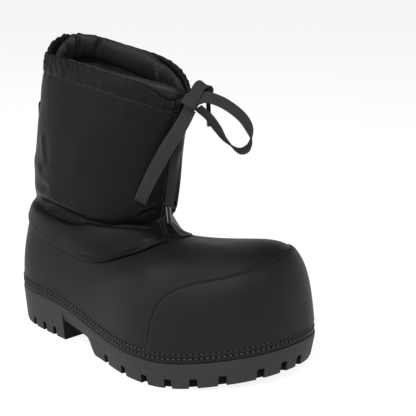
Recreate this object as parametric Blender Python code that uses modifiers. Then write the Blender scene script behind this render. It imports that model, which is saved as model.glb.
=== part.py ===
"""Low snow boot for the right foot.

A lugged rubber sole carries a padded galosh with a toe cap. A gathered nylon shaft rises from the
galosh and is tied at the front of its collar with a flat lace. +X is the toe, -Y the outer side of
the foot, +Z up, and the boot stands on z = 0. Sizes below are in millimetres.
"""
import math

import bmesh
import bpy
import numpy as np
from mathutils import Matrix, Vector

MM = 0.001
GAP = 0.3

# Sole
HEEL_TOP = 38.0
FOREFOOT_TOP = 25.5
SPRING_START = 75.0
SPRING_RUN = 95.0
TOE_TOP_RISE = 10.0
TOE_SPRING = 12.0
BREAST_X = -62.0
ARCH_END_X = -6.0
ARCH_HEIGHT = 20.0
ARCH_DROP = 7.0
SOLE_DRAFT_X = 0.982
SOLE_DRAFT_Y = 0.965
SOLE_LIP = 4.0
SOLE_SECTIONS = 52

# Tread
GROOVE_WIDTH = 6.8
GROOVE_HEIGHT = 8.0
GROOVE_LENGTH = 20.0
HEEL_GROOVE_WIDTH = 5.0
HEEL_GROOVE_LENGTH = 15.0
CHANNEL_WIDTH = 12.0
# Grooves by station number, from the outer side round the toe, and round the heel
FOREFOOT_GROOVES = (5.74, 4.79, 3.96, 3.25, 2.62, 1.92, 0.81, -0.04, -0.65, -1.5, -2.35, -3.1, -3.9, -4.75, -5.6)
HEEL_GROOVES = (8.38, 8.86, 9.4, 10.16, 10.95, 11.7, 12.4, 13.1, 13.9, 14.65, 15.2, 15.7)

# Walls
GALOSH_WALL = 2.6
SHAFT_WALL = 2.4
GALOSH_INSET = 1.6
RAND_HEIGHT = 11.0
RAND_PROUD = 1.2
CAP_THICKNESS = 1.2
CAP_LIFT = 0.7
INSOLE_THICKNESS = 4.0

# Edge of the toe cap from the inner to the outer side: station number, and reach up from the sole
CAP_EDGE = (
    (-4.05, 16), (-4.0, 30), (-3.9, 45), (-3.7, 61), (-3.4, 73.5), (-2.9, 82.5), (-2.3, 86.8), (-1.5, 88), (-0.6, 85.6),
    (0.2, 82.5), (0.9, 80.6), (1.6, 78.4), (2.3, 76.6), (2.7, 74), (3.1, 69), (3.44, 61), (3.67, 50.5), (3.79, 39),
    (3.87, 26), (3.93, 16))
CAP_COLUMNS = 29
STATION_PITCH = 25.0

# Columns round the walls
GALOSH_COLUMNS = 66
SHAFT_COLUMNS = 60
ROLL_ROWS = 7
WALL_ROWS = 10

# Stations run from the toe along the outer side to the heel and back along the inner side.
# welt: edge of the sole.  seam: joint of galosh and shaft.  rise and lean: how the galosh leaves the
# sole.  reach and drop: how it comes in to the seam.
GALOSH_STATIONS = (
    # welt_x, welt_y, seam_x, seam_y, seam_z, rise, lean, reach, drop
    (170, 6, 50, 3, 117.5, 109, -5, 88, -3),
    (162, -24, 51, -6, 118.5, 102, -1, 81, -5),
    (142, -51, 50, -15, 118.5, 92, 3, 68, -3),
    (113, -77, 48, -24, 117.5, 85, 2, 55, 2),
    (78, -88, 44, -34, 115.5, 78, 2, 40, 6),
    (42, -86, 33, -45, 109, 64, 3, 26, 10),
    (8, -78, 12, -55, 99.5, 46, 5, 14, 16),
    (-28, -71.5, -18, -59.5, 91, 34, 5, 8, 18),
    (-66, -67.5, -56, -58, 90.5, 32, 4, 6, 18),
    (-104, -64.5, -96, -56, 94.5, 32, 3, 5, 18),
    (-138, -56, -131, -49, 102, 34, 3, 4, 20),
    (-162, -33, -157, -29, 110, 38, 2, 3, 22),
    (-171, 0, -166, 0, 114, 40, 2, 2, 24),
    (-164, 26, -158, 24, 111, 38, 2, 3, 22),
    (-140, 44, -134, 40, 104, 34, 3, 4, 20),
    (-106, 51, -100, 46, 97.5, 32, 3, 5, 18),
    (-66, 53, -61, 49.5, 93, 32, 4, 6, 18),
    (-28, 58, -28, 51, 93.5, 34, 5, 8, 18),
    (10, 67, -7, 46, 98, 46, 5, 16, 16),
    (46, 80, 10, 38, 103.5, 68, -1, 33, 14),
    (83, 90, 24, 29, 109, 93, -6, 59, 13),
    (119, 89, 35, 21, 112.5, 109, -8, 76, 11),
    (149, 73, 42, 15, 115, 117, -9, 87, 6),
    (167, 42, 47, 9, 116.5, 115, -8, 91, 0),
)

# crease: the deep fold above the seam.  rim: the gathered collar.  roll: how far the nylon bulges
# over the seam, below the fold.  belly: how far it swells above the fold.
SHAFT_STATIONS = (
    # crease_x, crease_y, crease_z, rim_x, rim_y, rim_z, roll, belly
    (22.5, 3, 140.5, 56, 1, 255, -9.5, -6),
    (24.5, -6, 138.5, 54, -8, 256, -6.5, -3),
    (21, -14, 132, 49, -16, 258, -1.5, 2),
    (12, -23, 127, 41, -24, 261.5, 5, 6),
    (2, -32, 126, 30, -32, 265.5, 8, 8),
    (-9, -40, 125.5, 14, -38, 269.5, 10, 9),
    (-25, -46.5, 125, -5, -41.5, 272.5, 11, 9),
    (-46, -50.5, 125, -28, -43.5, 275, 11, 9),
    (-73, -52, 125, -56, -45, 278.5, 9, 9),
    (-102, -51, 126, -83, -45.5, 281, 6, 8),
    (-130, -43.5, 127.5, -109, -40, 281.5, 3, 5),
    (-152, -26, 129, -129, -24, 281.5, 2, 3),
    (-160, 0, 130, -139, -2, 291, 2, 2),
    (-153, 22, 129, -135, 20, 295, 2, 3),
    (-132, 38, 128, -117, 36.5, 292.5, 4, 5),
    (-105, 45, 127, -91, 46, 287, 7, 7),
    (-75, 47, 126, -62, 48.5, 283, 9, 8),
    (-49, 46, 125, -36, 47.5, 280, 10, 9),
    (-28.5, 42, 124, -13, 43, 276, 5, 9),
    (-13, 36, 123.5, 5, 36, 272, -1, 8),
    (-3.5, 29, 124.5, 20, 27.5, 268, -3.5, 7),
    (6, 22, 127.5, 33, 18.5, 264.5, -6.5, 3.5),
    (17, 15, 133, 43.5, 11, 260.5, -9, -0.5),
    (20, 10, 139.5, 52, 6, 257, -10.5, -5),
)
STATIONS = len(GALOSH_STATIONS)
HEEL_STATION = 12
CENTRE_Y = 1.82

# Padded roll inside the collar: height of its top above the rim by station, its distance from the line of
# the wall, how far its inner face is drawn in, and its section as share of the way in and depth below the top
PAD_TOP = (5, 5, 6, 5, 3, 1, 0, -1, -2, -2, -3, -3, -2, -2, -1.5, -1.5, -1.5, -2, -2, -1, 0, 2, 3, 4)
PAD_CENTRE = (-42.0, 0.0)
PAD_INSET = 3.1
PAD_INNER = (0.86, 0.7)
PAD_SECTION = ((0, 18), (0, 8), (0.28, 1), (0.7, 1), (1, 8), (1, 17), (0.7, 24), (0.25, 24))
PAD_COLUMNS = 30

# Lace, tied at the front of the collar
LACE_WIDTH = 12.0
LACE_END_WIDTH = 8.0
LACE_THICKNESS = 1.8
KNOT_CENTRE = (62, -7.5, 252.5)
KNOT_HALF = (7.2, 6.0, 7.5)
KNOT_TURN = math.radians(-17)
LOOP_OUTER_ROUTE = (
    (63, -9.9, 245.2), (60, -15.5, 233), (55, -20.5, 221), (49, -24.5, 209), (42.5, -28, 196), (36.5, -30.8, 184),
    (30.9, -33.4, 173), (25.9, -35.4, 162), (22.9, -35.9, 156.5), (20.4, -34.4, 153.5), (19.2, -32.1, 156.5),
    (22.2, -30.7, 164.5), (27, -29.2, 174.5), (32.2, -27, 185.8), (38, -24, 198), (44.5, -20.5, 210.5),
    (51, -16.5, 222), (56, -12, 233), (59.5, -7, 244.2))
LOOP_OUTER_ACROSS = (0.715, 0.542, -0.442)
LOOP_INNER_ROUTE = (
    (68.6, -5.4, 255.6), (74, 1.5, 256), (79.5, 9.5, 253), (87, 16.5, 247.6), (95, 24.5, 238.6), (100, 29.5, 228.6),
    (102, 31.5, 217.6), (99, 29.5, 207.6), (93, 23.5, 205.6), (85, 14.5, 215.6), (80, 9, 226.6), (75, 3, 237.5),
    (68.4, -4.6, 246.6))
END_FRONT_ROUTE = (
    (55.5, -4.6, 243.6), (52.5, -6.5, 236), (49, -8.8, 226), (46.5, -10.5, 215), (44.4, -11, 205),
    (42.3, -10.9, 195), (39.8, -10.6, 184), (36.4, -9.4, 170), (32.6, -8, 157), (29.6, -7, 146))
AGLET_FRONT = ((29.5, -6.95, 145.4), (33, -8, 129.8))
END_REAR_ROUTE = (
    (61, -4.4, 260.6), (62, -0.5, 265), (63, 4.5, 266.3), (64, 9.5, 262.5), (64.3, 12.3, 254), (64.5, 12.8, 245),
    (64.8, 12.8, 235))
AGLET_REAR = ((64.8, 12.8, 234.4), (65.4, 13.4, 226))
AGLET_RADIUS = 2.3


class Loop:
    """Closed smooth curve through rows of numbers, read at any row position u."""

    def __init__(self, rows):
        self.rows = np.array(rows, float)
        self.size = len(self.rows)
        ring = np.eye(self.size)
        system = 4 * ring + np.roll(ring, 1, axis=1) + np.roll(ring, -1, axis=1)
        ahead = np.roll(self.rows, -1, axis=0)
        behind = np.roll(self.rows, 1, axis=0)
        self.bend = np.linalg.solve(system, 6 * (ahead - 2 * self.rows + behind))

    def at(self, u):
        u = np.atleast_1d(np.asarray(u, float))
        first = np.floor(u).astype(int) % self.size
        second = (first + 1) % self.size
        t = (u - np.floor(u))[:, None]
        s = 1 - t
        straight = self.rows[first] * s + self.rows[second] * t
        return straight + ((s ** 3 - s) * self.bend[first] + (t ** 3 - t) * self.bend[second]) / 6


GALOSH = Loop(GALOSH_STATIONS)
SHAFT = Loop(SHAFT_STATIONS)


def ease(start, end, x):
    t = np.clip((x - start) / (end - start), 0, 1)
    return t * t * (3 - 2 * t)


def unit(v):
    return v / np.linalg.norm(v, axis=-1, keepdims=True)


def spring(x):
    return np.maximum(0, (x - SPRING_START) / SPRING_RUN) ** 2


def sole_top(x):
    return HEEL_TOP + (FOREFOOT_TOP - HEEL_TOP) * ease(-90, 25, x) + TOE_TOP_RISE * spring(x)


def sole_bottom(x):
    """Heel block, arch with its breast, flat forefoot and toe spring."""
    run = (x - BREAST_X) / (ARCH_END_X - BREAST_X)
    arch = (ARCH_HEIGHT - ARCH_DROP * run) * (1 - ease(0.55, 1.0, run))
    inside = (x > BREAST_X) & (x < ARCH_END_X)
    return np.where(inside, arch, 0.0) + TOE_SPRING * spring(x)


def bezier(a, b, c, d, steps):
    t = np.linspace(0, 1, steps)[None, :, None]
    s = 1 - t
    return (a[:, None] * s ** 3 + 3 * b[:, None] * s * s * t
            + 3 * c[:, None] * s * t * t + d[:, None] * t ** 3)


def normals(grid):
    """Outward normals of a grid whose first axis goes round and whose second goes up."""
    round_step = np.gradient(grid, axis=0)
    up_step = np.gradient(grid, axis=1)
    return unit(np.cross(up_step, round_step))


def galosh_lines(u, steps=90):
    """Smooth lines up the galosh from the sole to the seam, one for each u."""
    row = GALOSH.at(u)
    foot = np.stack([row[:, 0], row[:, 1], sole_top(row[:, 0]) + GAP], axis=1)
    seam = row[:, 2:5]
    outward = foot - seam
    outward[:, 2] = 0
    outward = unit(outward)
    foot = foot - GALOSH_INSET * outward
    up = np.array((0.0, 0.0, 1.0))
    rise, lean, reach, drop = (row[:, k:k + 1] for k in range(5, 9))
    return bezier(foot, foot + up * rise + outward * lean, seam + outward * reach - up * drop, seam, steps)


def along(line, distances):
    """Points at given distances along one line."""
    travelled = np.concatenate(([0], np.cumsum(np.linalg.norm(np.diff(line, axis=0), axis=1))))
    return np.stack([np.interp(distances, travelled, line[:, k]) for k in range(3)], axis=1)


def line_lengths(lines):
    return np.linalg.norm(np.diff(lines, axis=1), axis=2).sum(axis=1)


def galosh_grid():
    u = np.arange(GALOSH_COLUMNS) * STATIONS / GALOSH_COLUMNS
    lines = galosh_lines(u)
    lengths = line_lengths(lines)
    fractions = np.linspace(0, 1, 11)[1:]
    rand_rows = np.array((0.0, 5.0, RAND_HEIGHT - 1.0, RAND_HEIGHT))
    grid = []
    for line, length in zip(lines, lengths):
        upper_rows = RAND_HEIGHT + fractions * (length - RAND_HEIGHT)
        grid.append(along(line, np.concatenate((rand_rows, upper_rows))))
    grid = np.array(grid)
    looped = np.concatenate((grid[-1:], grid, grid[:1]))
    grid[:, :3] += RAND_PROUD * normals(looped)[1:-1, :3]
    return grid


def cap_grid():
    """Patch of the galosh from above the rand up to the cap's rounded edge."""
    edge = np.array(CAP_EDGE, float)
    steps = np.hypot(np.diff(edge[:, 0]) * STATION_PITCH, np.diff(edge[:, 1]))
    travelled = np.concatenate(([0], np.cumsum(steps)))
    places = np.linspace(0, travelled[-1], CAP_COLUMNS)
    rise = np.interp(places, travelled, edge[:, 1])
    lines = galosh_lines(np.interp(places, travelled, edge[:, 0]) % STATIONS)
    low = RAND_HEIGHT + 0.8
    grid = np.array([along(line, np.linspace(low, top, 8)) for line, top in zip(lines, rise)])
    return grid + CAP_LIFT * normals(grid)


def seam_way(u):
    """Direction in which the galosh comes in to the seam."""
    row = GALOSH.at(u)
    outward = unit(row[:, 0:2] - row[:, 2:4])
    return unit(np.concatenate((-outward * row[:, 7:8], row[:, 8:9]), axis=1))


def shaft_lines(u):
    """Lines up the shaft: the roll over the seam, the crease, then the wall up to the rim."""
    seam = GALOSH.at(u)[:, 2:5] + seam_way(u) * GAP
    row = SHAFT.at(u)
    crease = row[:, 0:3]
    rim = row[:, 3:6]
    roll = row[:, 6:7]
    tangent = SHAFT.at(np.asarray(u) + 0.05)[:, 0:3] - SHAFT.at(np.asarray(u) - 0.05)[:, 0:3]
    chord = crease - seam
    bulge = unit(np.cross(chord, tangent))
    start = 0.12 + 0.02 * np.maximum(0, -roll)
    low = bezier(seam, seam + bulge * roll + chord * start, crease + bulge * roll * 1.2 - chord * 0.05, crease, ROLL_ROWS)
    tangent[:, 2] = 0
    outward = unit(np.cross(np.array((0.0, 0.0, 1.0)), tangent))
    rise = rim - crease
    high = bezier(crease, crease + outward * row[:, 7:8] + rise * 0.10, rim - rise * 0.35 + outward * row[:, 7:8] * 0.35, rim, WALL_ROWS)
    return np.concatenate((low, high[:, 1:]), axis=1)


def shaft_wall_point(u, z):
    """Point on the shaft's wall, above the crease, at a height."""
    line = shaft_lines(np.array([u]))[0][ROLL_ROWS - 1:]
    return np.array([np.interp(z, line[:, 2], line[:, k]) for k in range(3)])


def pad_grid():
    """Sections of the padded roll, drawn in from the wall of the collar."""
    u = np.arange(PAD_COLUMNS) * STATIONS / PAD_COLUMNS
    tops = SHAFT.at(u)[:, 5] + Loop([(top,) for top in PAD_TOP]).at(u)[:, 0]
    step = (SHAFT.at(u + 0.05) - SHAFT.at(u - 0.05))[:, 3:5]
    outward = unit(np.stack((-step[:, 1], step[:, 0]), axis=1))
    centre = np.array(PAD_CENTRE)
    grid = []
    for line, top, facing in zip(shaft_lines(u)[:, ROLL_ROWS - 1:], tops, outward):
        section = []
        for share, depth in PAD_SECTION:
            wall = np.array([np.interp(top - depth, line[:, 2], line[:, k]) for k in range(2)])
            place = centre + (wall - facing * PAD_INSET - centre) * (1 - share * (1 - np.array(PAD_INNER)))
            section.append((*place, top - depth))
        grid.append(section)
    return np.array(grid)


def new_material(name, colour, roughness):
    material = bpy.data.materials.new(name)
    material.use_nodes = True
    shader = material.node_tree.nodes["Principled BSDF"]
    shader.inputs["Base Color"].default_value = (*colour, 1)
    shader.inputs["Roughness"].default_value = roughness
    return material


def add_object(name, mesh, material, collection):
    thing = bpy.data.objects.new(name, mesh)
    mesh.materials.append(material)
    collection.objects.link(thing)
    return thing


def grid_mesh(name, grid, closed, tube=False):
    """Quads over a grid whose first axis goes round, back to its start where closed; a tube closes both ways."""
    columns, rows = grid.shape[:2]
    mesh = bpy.data.meshes.new(name)
    points = (grid.reshape(-1, 3) * MM).tolist()
    faces = []
    for c in range(columns if closed else columns - 1):
        near = c * rows
        far = (c + 1) % columns * rows
        for r in range(rows if tube else rows - 1):
            up = (r + 1) % rows
            faces.append((near + r, near + up, far + up, far + r))
    mesh.from_pydata(points, [], faces)
    mesh.shade_smooth()
    return mesh


def loft_mesh(name, sections):
    """Closed body through sections with equally many points, capped at both ends."""
    work = bmesh.new()
    rings = [[work.verts.new(Vector(p) * MM) for p in section] for section in sections]
    for ring, following in zip(rings, rings[1:]):
        for k, corner in enumerate(ring):
            after = (k + 1) % len(ring)
            work.faces.new((corner, ring[after], following[after], following[k]))
    work.faces.new(rings[0])
    work.faces.new(rings[-1])
    bmesh.ops.recalc_face_normals(work, faces=work.faces)
    mesh = bpy.data.meshes.new(name)
    work.to_mesh(mesh)
    work.free()
    return mesh


def outline_sides(x):
    """The sole's outer and inner edge at each x."""
    points = GALOSH.at(np.linspace(0, STATIONS, 960))[:, :2]
    heel = np.argmin(points[:, 0])
    toe = np.argmax(points[:, 0])
    points = np.roll(points, -toe, axis=0)
    heel = (heel - toe) % len(points)
    outer = points[:heel + 1][::-1]
    inner = points[heel:]
    return (np.interp(x, outer[:, 0], outer[:, 1]), np.interp(x, inner[:, 0], inner[:, 1]))


def outline_ends():
    x = GALOSH.at(np.linspace(0, STATIONS, 960))[:, 0]
    return x.min(), x.max()


def section_stations():
    """Places along the sole, closer together at its round ends and at the heel breast."""
    back, front = outline_ends()
    middle = (back + front) / 2
    x = middle - (front - back) / 2 * np.cos(np.linspace(0.012, 0.988, SOLE_SECTIONS) * math.pi)
    breast = BREAST_X / SOLE_DRAFT_X
    x = x[np.abs(x - breast) > 1.5]
    return np.sort(np.concatenate((x, (breast - 0.01, breast + 0.25))))


def make_sole(collection, cutters, material):
    sections = []
    x = section_stations()
    outer, inner = outline_sides(x)
    for station, low_y, high_y in zip(x, outer, inner):
        top = float(sole_top(station))
        foot_x = station * SOLE_DRAFT_X
        bottom = float(sole_bottom(np.array(foot_x)))
        centre = (low_y + high_y) / 2
        foot_low = low_y * SOLE_DRAFT_Y
        foot_high = high_y * SOLE_DRAFT_Y
        sections.append(((station, low_y, top), (station, low_y, top - SOLE_LIP), (foot_x, foot_low, bottom),
                         (foot_x, centre, bottom), (foot_x, foot_high, bottom),
                         (station, high_y, top - SOLE_LIP), (station, high_y, top), (station, centre, top)))
    sole = add_object("outsole", loft_mesh("outsole", sections), material, collection)
    for cutter in (groove_cutter(cutters), channel_cutter(cutters)):
        cut = sole.modifiers.new(cutter.name, "BOOLEAN")
        cut.operation = "DIFFERENCE"
        cut.object = cutter
    return sole


def hidden_cutter(name, work, cutters):
    mesh = bpy.data.meshes.new(name)
    work.to_mesh(mesh)
    work.free()
    cutter = bpy.data.objects.new(name, mesh)
    cutters.objects.link(cutter)
    cutter.hide_render = True
    cutter.display_type = "WIRE"
    return cutter


def add_box(work, centre, size, turn=0.0):
    matrix = Matrix.Translation(Vector(centre) * MM) @ Matrix.Rotation(turn, 4, "Z")
    matrix = matrix @ Matrix.Diagonal((*(Vector(size) * MM), 1))
    bmesh.ops.create_cube(work, size=1, matrix=matrix)


def groove_cutter(cutters):
    """Slots that run in from the edge and split the tread into lugs."""
    work = bmesh.new()
    for places, width, length in ((FOREFOOT_GROOVES, GROOVE_WIDTH, GROOVE_LENGTH),
                                  (HEEL_GROOVES, HEEL_GROOVE_WIDTH, HEEL_GROOVE_LENGTH)):
        for place in places:
            edge = GALOSH.at(place)[0, :2]
            step = GALOSH.at(place + 0.1)[0, :2] - GALOSH.at(place - 0.1)[0, :2]
            turn = math.atan2(step[1], step[0]) - math.pi / 2
            inward = np.array((math.cos(turn), math.sin(turn)))
            centre = edge * (SOLE_DRAFT_X, SOLE_DRAFT_Y) + inward * (length / 2 - 6)
            low = float(sole_bottom(edge[0:1])[0])
            add_box(work, (centre[0], centre[1], low), (length, width, 2 * GROOVE_HEIGHT), turn)
    return hidden_cutter("groove_cutter", work, cutters)


def channel_cutter(cutters):
    """Channel along the middle of the tread, in the forefoot and in the heel."""
    work = bmesh.new()
    for start, end, y in ((22, 132, 3), (-138, -74, -4)):
        add_box(work, ((start + end) / 2, y, 0), (end - start, CHANNEL_WIDTH, GROOVE_HEIGHT * 1.5))
    return hidden_cutter("channel_cutter", work, cutters)


def make_insole(collection, material):
    x = section_stations() * 0.955
    outer, inner = outline_sides(x / 0.955)
    sections = []
    for station, low_y, high_y in zip(x, outer * 0.915, inner * 0.915):
        low = float(sole_top(station)) + GAP
        high = low + INSOLE_THICKNESS
        middle = (low_y + high_y) / 2
        sections.append(((station, low_y, high), (station, low_y, low), (station, middle, low),
                         (station, high_y, low), (station, high_y, high), (station, middle, high)))
    return add_object("insole", loft_mesh("insole", sections[::2]), material, collection)


def make_shell(name, grid, closed, wall, side, material, collection):
    shell = add_object(name, grid_mesh(name, grid, closed), material, collection)
    solid = shell.modifiers.new("wall", "SOLIDIFY")
    solid.thickness = wall * MM
    solid.offset = side
    solid.use_even_offset = True
    return shell


def make_pull_tab(collection, material):
    """Webbing loop on the back seam of the shaft."""
    width = 18.0
    stand_out = 13.0
    clear = np.array((-GAP - 0.7, 0, 0))
    top = shaft_wall_point(HEEL_STATION, 225) + clear
    foot = shaft_wall_point(HEEL_STATION, 202) + clear
    outer_x = min(top[0], foot[0]) - stand_out
    route = np.array((top, (outer_x + 4, 0, top[2]), (outer_x, 0, top[2] - 4),
                      (outer_x, 0, foot[2] + 4), (outer_x + 4, 0, foot[2]), foot))
    across = np.tile((0.0, 1.0, 0.0), (len(route), 1))
    return add_object("pull_tab", loft_mesh("pull_tab", ribbon_sections(route, across, width, 2.0)),
                      material, collection)


def ribbon_sections(route, across, width, thickness):
    """Flat sections along a route, with their width along the given directions."""
    forward = unit(np.gradient(route, axis=0))
    across = unit(across - forward * (across * forward).sum(axis=1, keepdims=True))
    face = np.cross(forward, across)
    half = across * width / 2
    deep = face * thickness / 2
    return np.stack((route + half + deep, route - half + deep, route - half - deep, route + half - deep), axis=1)


def smooth_route(points, steps=3):
    """Smooth curve through the points of a route."""
    points = np.array(points, float)
    padded = np.concatenate((2 * points[:1] - points[1:2], points, 2 * points[-1:] - points[-2:-1]))
    route = []
    for a, b, c, d in zip(padded, padded[1:], padded[2:], padded[3:]):
        for t in np.arange(steps) / steps:
            route.append(b + 0.5 * t * (c - a + t * (2 * a - 5 * b + 4 * c - d + t * (3 * (b - c) + d - a))))
    return np.array(route + [points[-1]])


def make_ribbon(name, points, across, width, material, collection):
    route = smooth_route(points)
    directions = np.tile(across, (len(route), 1)).astype(float)
    sections = ribbon_sections(route, directions, width, LACE_THICKNESS)
    return add_object(name, loft_mesh(name, sections), material, collection)


def make_knot(collection, material):
    work = bmesh.new()
    bmesh.ops.create_uvsphere(work, u_segments=14, v_segments=8, radius=1)
    mesh = bpy.data.meshes.new("lace_knot")
    work.transform(Matrix.Diagonal((*(Vector(KNOT_HALF) * MM), 1)))
    work.to_mesh(mesh)
    work.free()
    knot = add_object("lace_knot", mesh, material, collection)
    knot.location = Vector(KNOT_CENTRE) * MM
    knot.rotation_euler = (0, 0, KNOT_TURN)
    return knot


def make_aglet(name, ends, collection, material):
    start, end = (Vector(p) * MM for p in ends)
    work = bmesh.new()
    bmesh.ops.create_cone(work, cap_ends=True, segments=12, radius1=AGLET_RADIUS * MM,
                          radius2=AGLET_RADIUS * MM, depth=(end - start).length)
    mesh = bpy.data.meshes.new(name)
    work.to_mesh(mesh)
    work.free()
    aglet = add_object(name, mesh, material, collection)
    aglet.location = (start + end) / 2
    aglet.rotation_euler = (end - start).to_track_quat("Z", "X").to_euler()
    return aglet


def fresh_collection(name):
    collection = bpy.data.collections.new(name)
    bpy.context.scene.collection.children.link(collection)
    return collection


def main():
    for thing in list(bpy.data.objects):
        bpy.data.objects.remove(thing)
    boot = fresh_collection("low_boot")
    cutters = fresh_collection("cutters")
    rubber = new_material("rubber", (0.045, 0.043, 0.041), 0.6)
    leather = new_material("coated_leather", (0.022, 0.022, 0.024), 0.5)
    nylon = new_material("nylon", (0.014, 0.014, 0.016), 0.42)
    board = new_material("insole_board", (0.03, 0.03, 0.032), 0.9)
    webbing = new_material("webbing", (0.03, 0.03, 0.033), 0.8)

    make_sole(boot, cutters, rubber)
    make_insole(boot, board)
    make_shell("upper", galosh_grid(), True, GALOSH_WALL, -1, leather, boot)
    make_shell("toe_cap", cap_grid(), False, CAP_THICKNESS, 1, leather.copy(), boot)
    columns = np.arange(SHAFT_COLUMNS) * STATIONS / SHAFT_COLUMNS
    make_shell("shaft", shaft_lines(columns), True, SHAFT_WALL, -1, nylon, boot)
    add_object("collar_roll", grid_mesh("collar_roll", pad_grid(), True, True), nylon.copy(), boot)
    make_pull_tab(boot, webbing)

    lace = new_material("lace", (0.05, 0.05, 0.054), 0.85)
    metal = new_material("aglet_metal", (0.45, 0.45, 0.46), 0.3)
    metal.node_tree.nodes["Principled BSDF"].inputs["Metallic"].default_value = 1
    make_knot(boot, lace)
    make_ribbon("lace_loop_outer", LOOP_OUTER_ROUTE, LOOP_OUTER_ACROSS, LACE_WIDTH, lace.copy(), boot)
    make_ribbon("lace_loop_inner", LOOP_INNER_ROUTE, (0.49, -0.5, -0.7), LACE_WIDTH, lace.copy(), boot)
    make_ribbon("lace_end_front", END_FRONT_ROUTE, (0.42, 0.9, 0), LACE_END_WIDTH, lace.copy(), boot)
    make_ribbon("lace_end_rear", END_REAR_ROUTE, (0.9, -0.3, 0), LACE_END_WIDTH, lace.copy(), boot)
    make_aglet("aglet_front", AGLET_FRONT, boot, metal)
    make_aglet("aglet_rear", AGLET_REAR, boot, metal.copy())

    # The sole's box is centred on the origin
    frame = bpy.data.objects.new("boot_frame", None)
    boot.objects.link(frame)
    frame.location = (0, -CENTRE_Y * MM, 0)
    for thing in boot.objects:
        if thing != frame:
            thing.parent = frame
    for cutter in cutters.objects:
        cutter.parent = frame


main()
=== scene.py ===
"""Looks of the low snow boot: nylon shaft, padded collar, stitched galosh, lugged sole and lace.

Sizes are in millimetres in the boot's own frame: +X is the toe, -Y the outer side, +Z up. The function
world turns them into metres and centres the sole on the origin.
"""

import math

import bmesh
import bpy
import numpy as np
from mathutils import Matrix, Vector, noise

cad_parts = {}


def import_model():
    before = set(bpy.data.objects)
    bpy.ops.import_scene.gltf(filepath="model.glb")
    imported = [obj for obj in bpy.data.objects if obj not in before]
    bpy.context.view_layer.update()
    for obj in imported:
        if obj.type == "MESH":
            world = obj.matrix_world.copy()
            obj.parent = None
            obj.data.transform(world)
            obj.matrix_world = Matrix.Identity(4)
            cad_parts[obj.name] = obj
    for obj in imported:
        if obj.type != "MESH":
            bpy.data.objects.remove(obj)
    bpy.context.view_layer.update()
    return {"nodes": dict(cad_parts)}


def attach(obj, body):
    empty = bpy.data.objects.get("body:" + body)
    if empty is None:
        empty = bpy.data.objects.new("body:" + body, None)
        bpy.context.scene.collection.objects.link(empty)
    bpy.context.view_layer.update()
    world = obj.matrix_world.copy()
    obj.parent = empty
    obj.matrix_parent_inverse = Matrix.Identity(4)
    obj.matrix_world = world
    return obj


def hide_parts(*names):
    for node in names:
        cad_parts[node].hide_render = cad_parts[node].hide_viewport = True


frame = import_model()

MM = 0.001
GAP = 0.3

# Sole
HEEL_TOP = 38.0
FOREFOOT_TOP = 25.5
SPRING_START = 75.0
SPRING_RUN = 95.0
TOE_TOP_RISE = 10.0
TOE_SPRING = 12.0
BREAST_X = -62.0
ARCH_END_X = -6.0
ARCH_HEIGHT = 20.0
ARCH_DROP = 7.0
SOLE_DRAFT_X = 0.982
SOLE_DRAFT_Y = 0.965
SOLE_LIP = 4.0
SOLE_EDGE = 1.3
# Where the sole's top comes down from the heel, and the share of the arch at which its roof does
TOP_FALL = (-90, 25)
ARCH_FALL = 0.71

# Tread
GROOVE_LENGTH = 12.0
GROOVE_WIDTH = 6.8
HEEL_GROOVE_WIDTH = 5.0
GROOVE_FLARE = 1.3
NOTCH_HEIGHT = 9.6
CHANNEL_WIDTH = 12.0
CHANNEL_HEIGHT = 12.0
# Channels along the tread: first x, last x and y
CHANNELS = ((22, 132, 3), (-138, -74, -4))
# Grooves by station number, from the outer side round the toe, and round the heel
FOREFOOT_GROOVES = (
    5.74, 4.79, 3.96, 3.25, 2.62, 1.92, 0.81, -0.04, -0.65, -1.5, -2.35, -3.1, -3.9, -4.75, -5.6)
HEEL_GROOVES = (8.38, 8.86, 9.4, 10.16, 10.95, 11.7, 12.4, 13.1, 13.9, 14.65, 15.2, 15.7)

# Galosh: how far it stands in from the sole's edge, and the points up each of its lines
GALOSH_INSET = 1.6
GALOSH_STEPS = 140

# Edge of the toe cap from the inner to the outer side: station number, and reach up from the sole
CAP_EDGE = (
    (-4.05, 16), (-4.0, 30), (-3.9, 45), (-3.7, 61), (-3.4, 73.5), (-2.9, 82.5), (-2.3, 86.8), (-1.5, 88),
    (-0.6, 85.6), (0.2, 82.5), (0.9, 80.6), (1.6, 78.4), (2.3, 76.6), (2.7, 74), (3.1, 69), (3.44, 61),
    (3.67, 50.5), (3.79, 39), (3.87, 26), (3.93, 16))
STATION_PITCH = 25.0
# The cap's lower edge, its thickness, how far it is sunk in and the width of its rounded edge
CAP_LOW = 9.5
CAP_HEIGHT = 1.75
CAP_SINK = 0.15
CAP_ROUNDING = 1.1

# Rows up the shaft's lines
ROLL_ROWS = 56
WALL_ROWS = 108

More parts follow.
